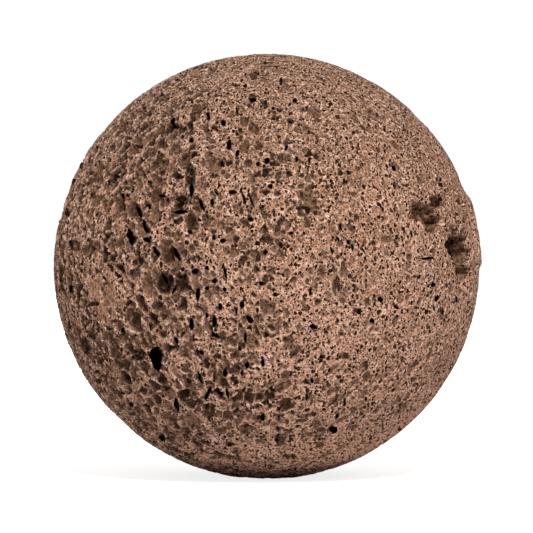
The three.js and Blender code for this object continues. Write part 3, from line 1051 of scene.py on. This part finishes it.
def dust_and_highlight(tree, place, rims, inside, crest, skin):
    fine_rims = 0.0
    for name, strength in RIM_STRENGTH.items():
        fine_rims = number(tree, "MULTIPLY_ADD", rims[name], strength, fine_rims)
    fine_rims = number(tree, "MULTIPLY", fine_rims, skin)
    edge = remap(tree, number(tree, "ABSOLUTE", inside), *LIP_WIDTH)
    lip = number(tree, "SUBTRACT", 1.0, edge)
    lip = number(tree, "MULTIPLY", lip, patchy(tree, place, *LIP_PATCHES))
    walls = number(tree, "MULTIPLY", remap(tree, crest, *CREST_HEIGHT), WALL_STRENGTH)
    # Pale: partly dust, partly painted highlight on raised edges
    pale = number(tree, "MAXIMUM", number(tree, "MAXIMUM", fine_rims, walls), lip)
    return number(tree, "MULTIPLY", pale, patchy(tree, place, *FLECKS), clamp=True)


# %% [markdown]
# ## Dark pores and broken rock
# A pore swallows light, the more so the deeper it is, so pores, bubbles and holes are
# painted dark as painted shade. Inside the broken hollows the rock is raw: brown crumbs
# with gaps painted dark as shade between them, the deepest parts painted black as shade,
# and no ground skin at all.

# %% Painted shade in pores and holes, and the colour of broken rock
CHIP_BROWN = (0.200, 0.105, 0.062, 1)
PORE_SHADE = (0.036, 0.008, 0.001, 1)
HOLE_SHADE = (0.004, 0.0015, 0.001, 1)
HOLES_BY_DEPTH = (0.2, 0.8, 0.97, 0.5)  # small holes are weaker on deep floors
BROKEN_BY_DEPTH = (0.2, 1.7, 0.0, 0.85)
CRUMB_SIZE, CRUMB_EDGES, CRUMB_HEIGHT = 0.8, (0.47, 0.64), 1.2  # mm, share, mm
# Painted shade: the deepest parts of a broken hollow are painted black
PIT_BY_DEPTH = (2.5, 4.4, 0.0, 0.93)


# Where the small pores are painted black as shade; the same mask also lowers the bump
def small_hole_mask(tree, bowls, mesh_depth, rough):
    holes = number(tree, "MAXIMUM", bowls["round"], bowls["slit"])
    holes = number(tree, "MULTIPLY", holes, remap(tree, mesh_depth, *HOLES_BY_DEPTH))
    return number(tree, "MULTIPLY", holes, rough)


def broken_rock(tree, place, hollow):
    """Returns how broken the rock is, where it is painted dark between crumbs as shade, and its colour.
    """
    broken = remap(tree, hollow, *BROKEN_BY_DEPTH)
    crumbs = remap(tree, noise_at(tree, place, CRUMB_SIZE, 3.0), *CRUMB_EDGES)
    # Painted shade: the gaps between crumbs are painted dark
    colour = mixed(tree, crumbs, CHIP_BROWN, PORE_SHADE)
    pit = number(tree, "MULTIPLY_ADD", crumbs, CRUMB_HEIGHT, hollow)
    return broken, crumbs, mixed(tree, remap(tree, pit, *PIT_BY_DEPTH), colour, HOLE_SHADE)


# %% [markdown]
# ## The lava material
# Now the parts are put together. The foam is worked out again at every shaded place, on
# the skin straight above it, so that each rim is as crisp as it can be. Colours are laid
# over each other from the rock itself, through rims pale with dust and painted highlight,
# up to the painted shade that makes holes black, and every part that has height goes into
# one Bump node. Dry lava has no shine, so it has no specular reflection.

# %% Material: vesicular lava
SPECK_WHITE = (1.0, 0.86, 0.72, 1)
CALM_SMOOTHNESS = 0.6
PORES_BY_DEPTH, GRAIN_BY_DEPTH = (0.05, 0.5, 1.0, 0.2), (0.05, 0.8, 1.0, 0.5)
# Painted shade: pits this much deeper than their wider neighbours are painted black
NARROW_DEPTHS = (0.4, 0.9)  # mm
ROUGHNESS = 0.95
OPEN_HEIGHT, PIN_HEIGHT, HOLE_HEIGHT = -0.3, -0.1, -0.35  # mm
GRAIN_HEIGHT, FOAM_HEIGHT, BROKEN_HEIGHT = 0.08, -1.0, -0.4


def make_lava(material):
    material.use_nodes = True
    tree = material.node_tree
    shader = tree.nodes["Principled BSDF"]
    place = add(tree, "ShaderNodeTexCoord").outputs["Object"]
    outward = vector(tree, "NORMALIZE", vector(tree, "SUBTRACT", place, tuple(ball_centre)))
    mesh_depth = read(tree, "depth")
    on_skin = scaled(tree, outward, read(tree, "skin_radius"))
    bubbles = bubble_group("ShaderNodeTree")
    inside, foam_depth, bubble_shade = foam(tree, "ShaderNodeGroup", bubbles, on_skin, outward)
    depth = number(tree, "MAXIMUM", foam_depth, read(tree, "carved"))
    bowls, rims = fine_pores(tree, place)
    rough = number(tree, "MULTIPLY_ADD", calm(tree, outward), -CALM_SMOOTHNESS, 1.0)
    skin = number(tree, "MULTIPLY", remap(tree, mesh_depth, *PORES_BY_DEPTH), rough)
    grain = number(tree, "MULTIPLY", remap(tree, mesh_depth, *GRAIN_BY_DEPTH), rough)

    rock, speckle = rock_colour(tree, place, outward, depth, grain)
    pale = dust_and_highlight(tree, place, rims, inside, read(tree, "crest"), skin)
    # Painted shade: the fine pores are painted dark
    fine_holes = number(tree, "MULTIPLY", number(tree, "MAXIMUM", bowls["open"], bowls["pin"]), skin)
    small_holes = small_hole_mask(tree, bowls, mesh_depth, rough)
    broken, crumbs, raw_rock_and_shade = broken_rock(tree, place, read(tree, "hollow"))
    # Painted shade: narrow pits and listed holes are painted black
    narrow = remap(tree, read(tree, "narrow"), *NARROW_DEPTHS)
    pit_shade = number(tree, "MAXIMUM", narrow, read(tree, "hole_shade"))
    colour = rock
    # Rims get dust and painted highlight; pores, bubbles, broken rock and holes get painted shade
    for mask, laid_over in (
        (pale, RIM_DUST_AND_HIGHLIGHT),
        (fine_holes, PORE_SHADE),
        (small_holes, HOLE_SHADE),
        (broken, raw_rock_and_shade),
        (bubble_shade, HOLE_SHADE),
        (pit_shade, HOLE_SHADE),
        (bowls["speck"], SPECK_WHITE),
    ):
        colour = mixed(tree, mask, colour, laid_over)
    tree.links.new(colour, shader.inputs["Base Color"])
    shader.inputs["Roughness"].default_value = ROUGHNESS
    shader.inputs["Specular IOR Level"].default_value = 0.0

    height = number(tree, "MULTIPLY", bowls["open"], OPEN_HEIGHT)
    for part, much in (
        (bowls["pin"], PIN_HEIGHT),
        (small_holes, HOLE_HEIGHT),
        (speckle, GRAIN_HEIGHT),
        (foam_depth, FOAM_HEIGHT),
        (number(tree, "MULTIPLY", crumbs, broken), BROKEN_HEIGHT),
    ):
        height = number(tree, "MULTIPLY_ADD", part, much, height)
    bump = add(tree, "ShaderNodeBump", {"Height": height, "Distance": MM, "Strength": 1.0})
    tree.links.new(bump.outputs[0], shader.inputs["Normal"])


make_lava(lava)
print("material:", stone.data.materials[0].name, "with", len(lava.node_tree.nodes), "nodes")

# %% [markdown]
# ## Floor and studio light
# A pale floor and a white surround leave nothing to look at but the stone. The floor
# glows for the camera only, so its shadow is faint and the stone isn't lit from below.
# One soft lamp shines from high in front, a little to the right, and the surround fills
# the shadows weakly.

# %% Floor
FLOOR_REACH = 4.0
FLOOR_WHITE = (0.9, 0.9, 0.9, 1)
FLOOR_GLOW = 0.8

corners = [(x * FLOOR_REACH, y * FLOOR_REACH, 0) for x, y in ((-1, -1), (1, -1), (1, 1), (-1, 1))]
floor_mesh = bpy.data.meshes.new("floor")
floor_mesh.from_pydata(corners, [], [(0, 1, 2, 3)])
floor = bpy.data.objects.new("floor", floor_mesh)
bpy.context.scene.collection.objects.link(floor)
pale = bpy.data.materials.new("pale_floor")
pale.use_nodes = True
pale_tree = pale.node_tree
looked_at = add(pale_tree, "ShaderNodeLightPath").outputs["Is Camera Ray"]
glow = number(pale_tree, "MULTIPLY", looked_at, FLOOR_GLOW)
floor_shader = pale_tree.nodes["Principled BSDF"]
floor_shader.inputs["Base Color"].default_value = FLOOR_WHITE
floor_shader.inputs["Emission Color"].default_value = (1, 1, 1, 1)
pale_tree.links.new(glow, floor_shader.inputs["Emission Strength"])
floor_shader.inputs["Roughness"].default_value = 1.0
floor_shader.inputs["Specular IOR Level"].default_value = 0.0
floor_mesh.materials.append(pale)
print("floor:", 2 * FLOOR_REACH, "m wide")

# %% Light
FILL = 0.29
KEY_STRENGTH = 3.5
KEY_SOFTNESS = 9  # degrees
KEY_FROM = (12, 46)  # azimuth and elevation, in degrees

world = bpy.data.worlds.new("studio")
world.use_nodes = True
sky = world.node_tree
background = sky.nodes["Background"]
seen = add(sky, "ShaderNodeLightPath").outputs["Is Camera Ray"]
strength = remap(sky, seen, 0.0, 1.0, FILL, 1.0, "LINEAR")
sky.links.new(strength, background.inputs["Strength"])
background.inputs["Color"].default_value = (1, 1, 1, 1)
bpy.context.scene.world = world

lamp_data = bpy.data.lights.new("key", "SUN")
lamp_data.energy = KEY_STRENGTH
lamp_data.angle = math.radians(KEY_SOFTNESS)
lamp = bpy.data.objects.new("key", lamp_data)
bpy.context.scene.collection.objects.link(lamp)
lamp.rotation_mode = "QUATERNION"
lamp.rotation_quaternion = Vector(direction_at(*KEY_FROM)).to_track_quat("Z", "Y")
bpy.context.scene.view_settings.view_transform = "Standard"
print("key light from", KEY_FROM, "degrees, fill", FILL)

# %% [markdown]
# ## Hand over
# The stone takes the place of the plain CAD ball and rides on the same body.

# %% Hand the stone over to the frame
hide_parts("pumice_stone")
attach(stone, "root")
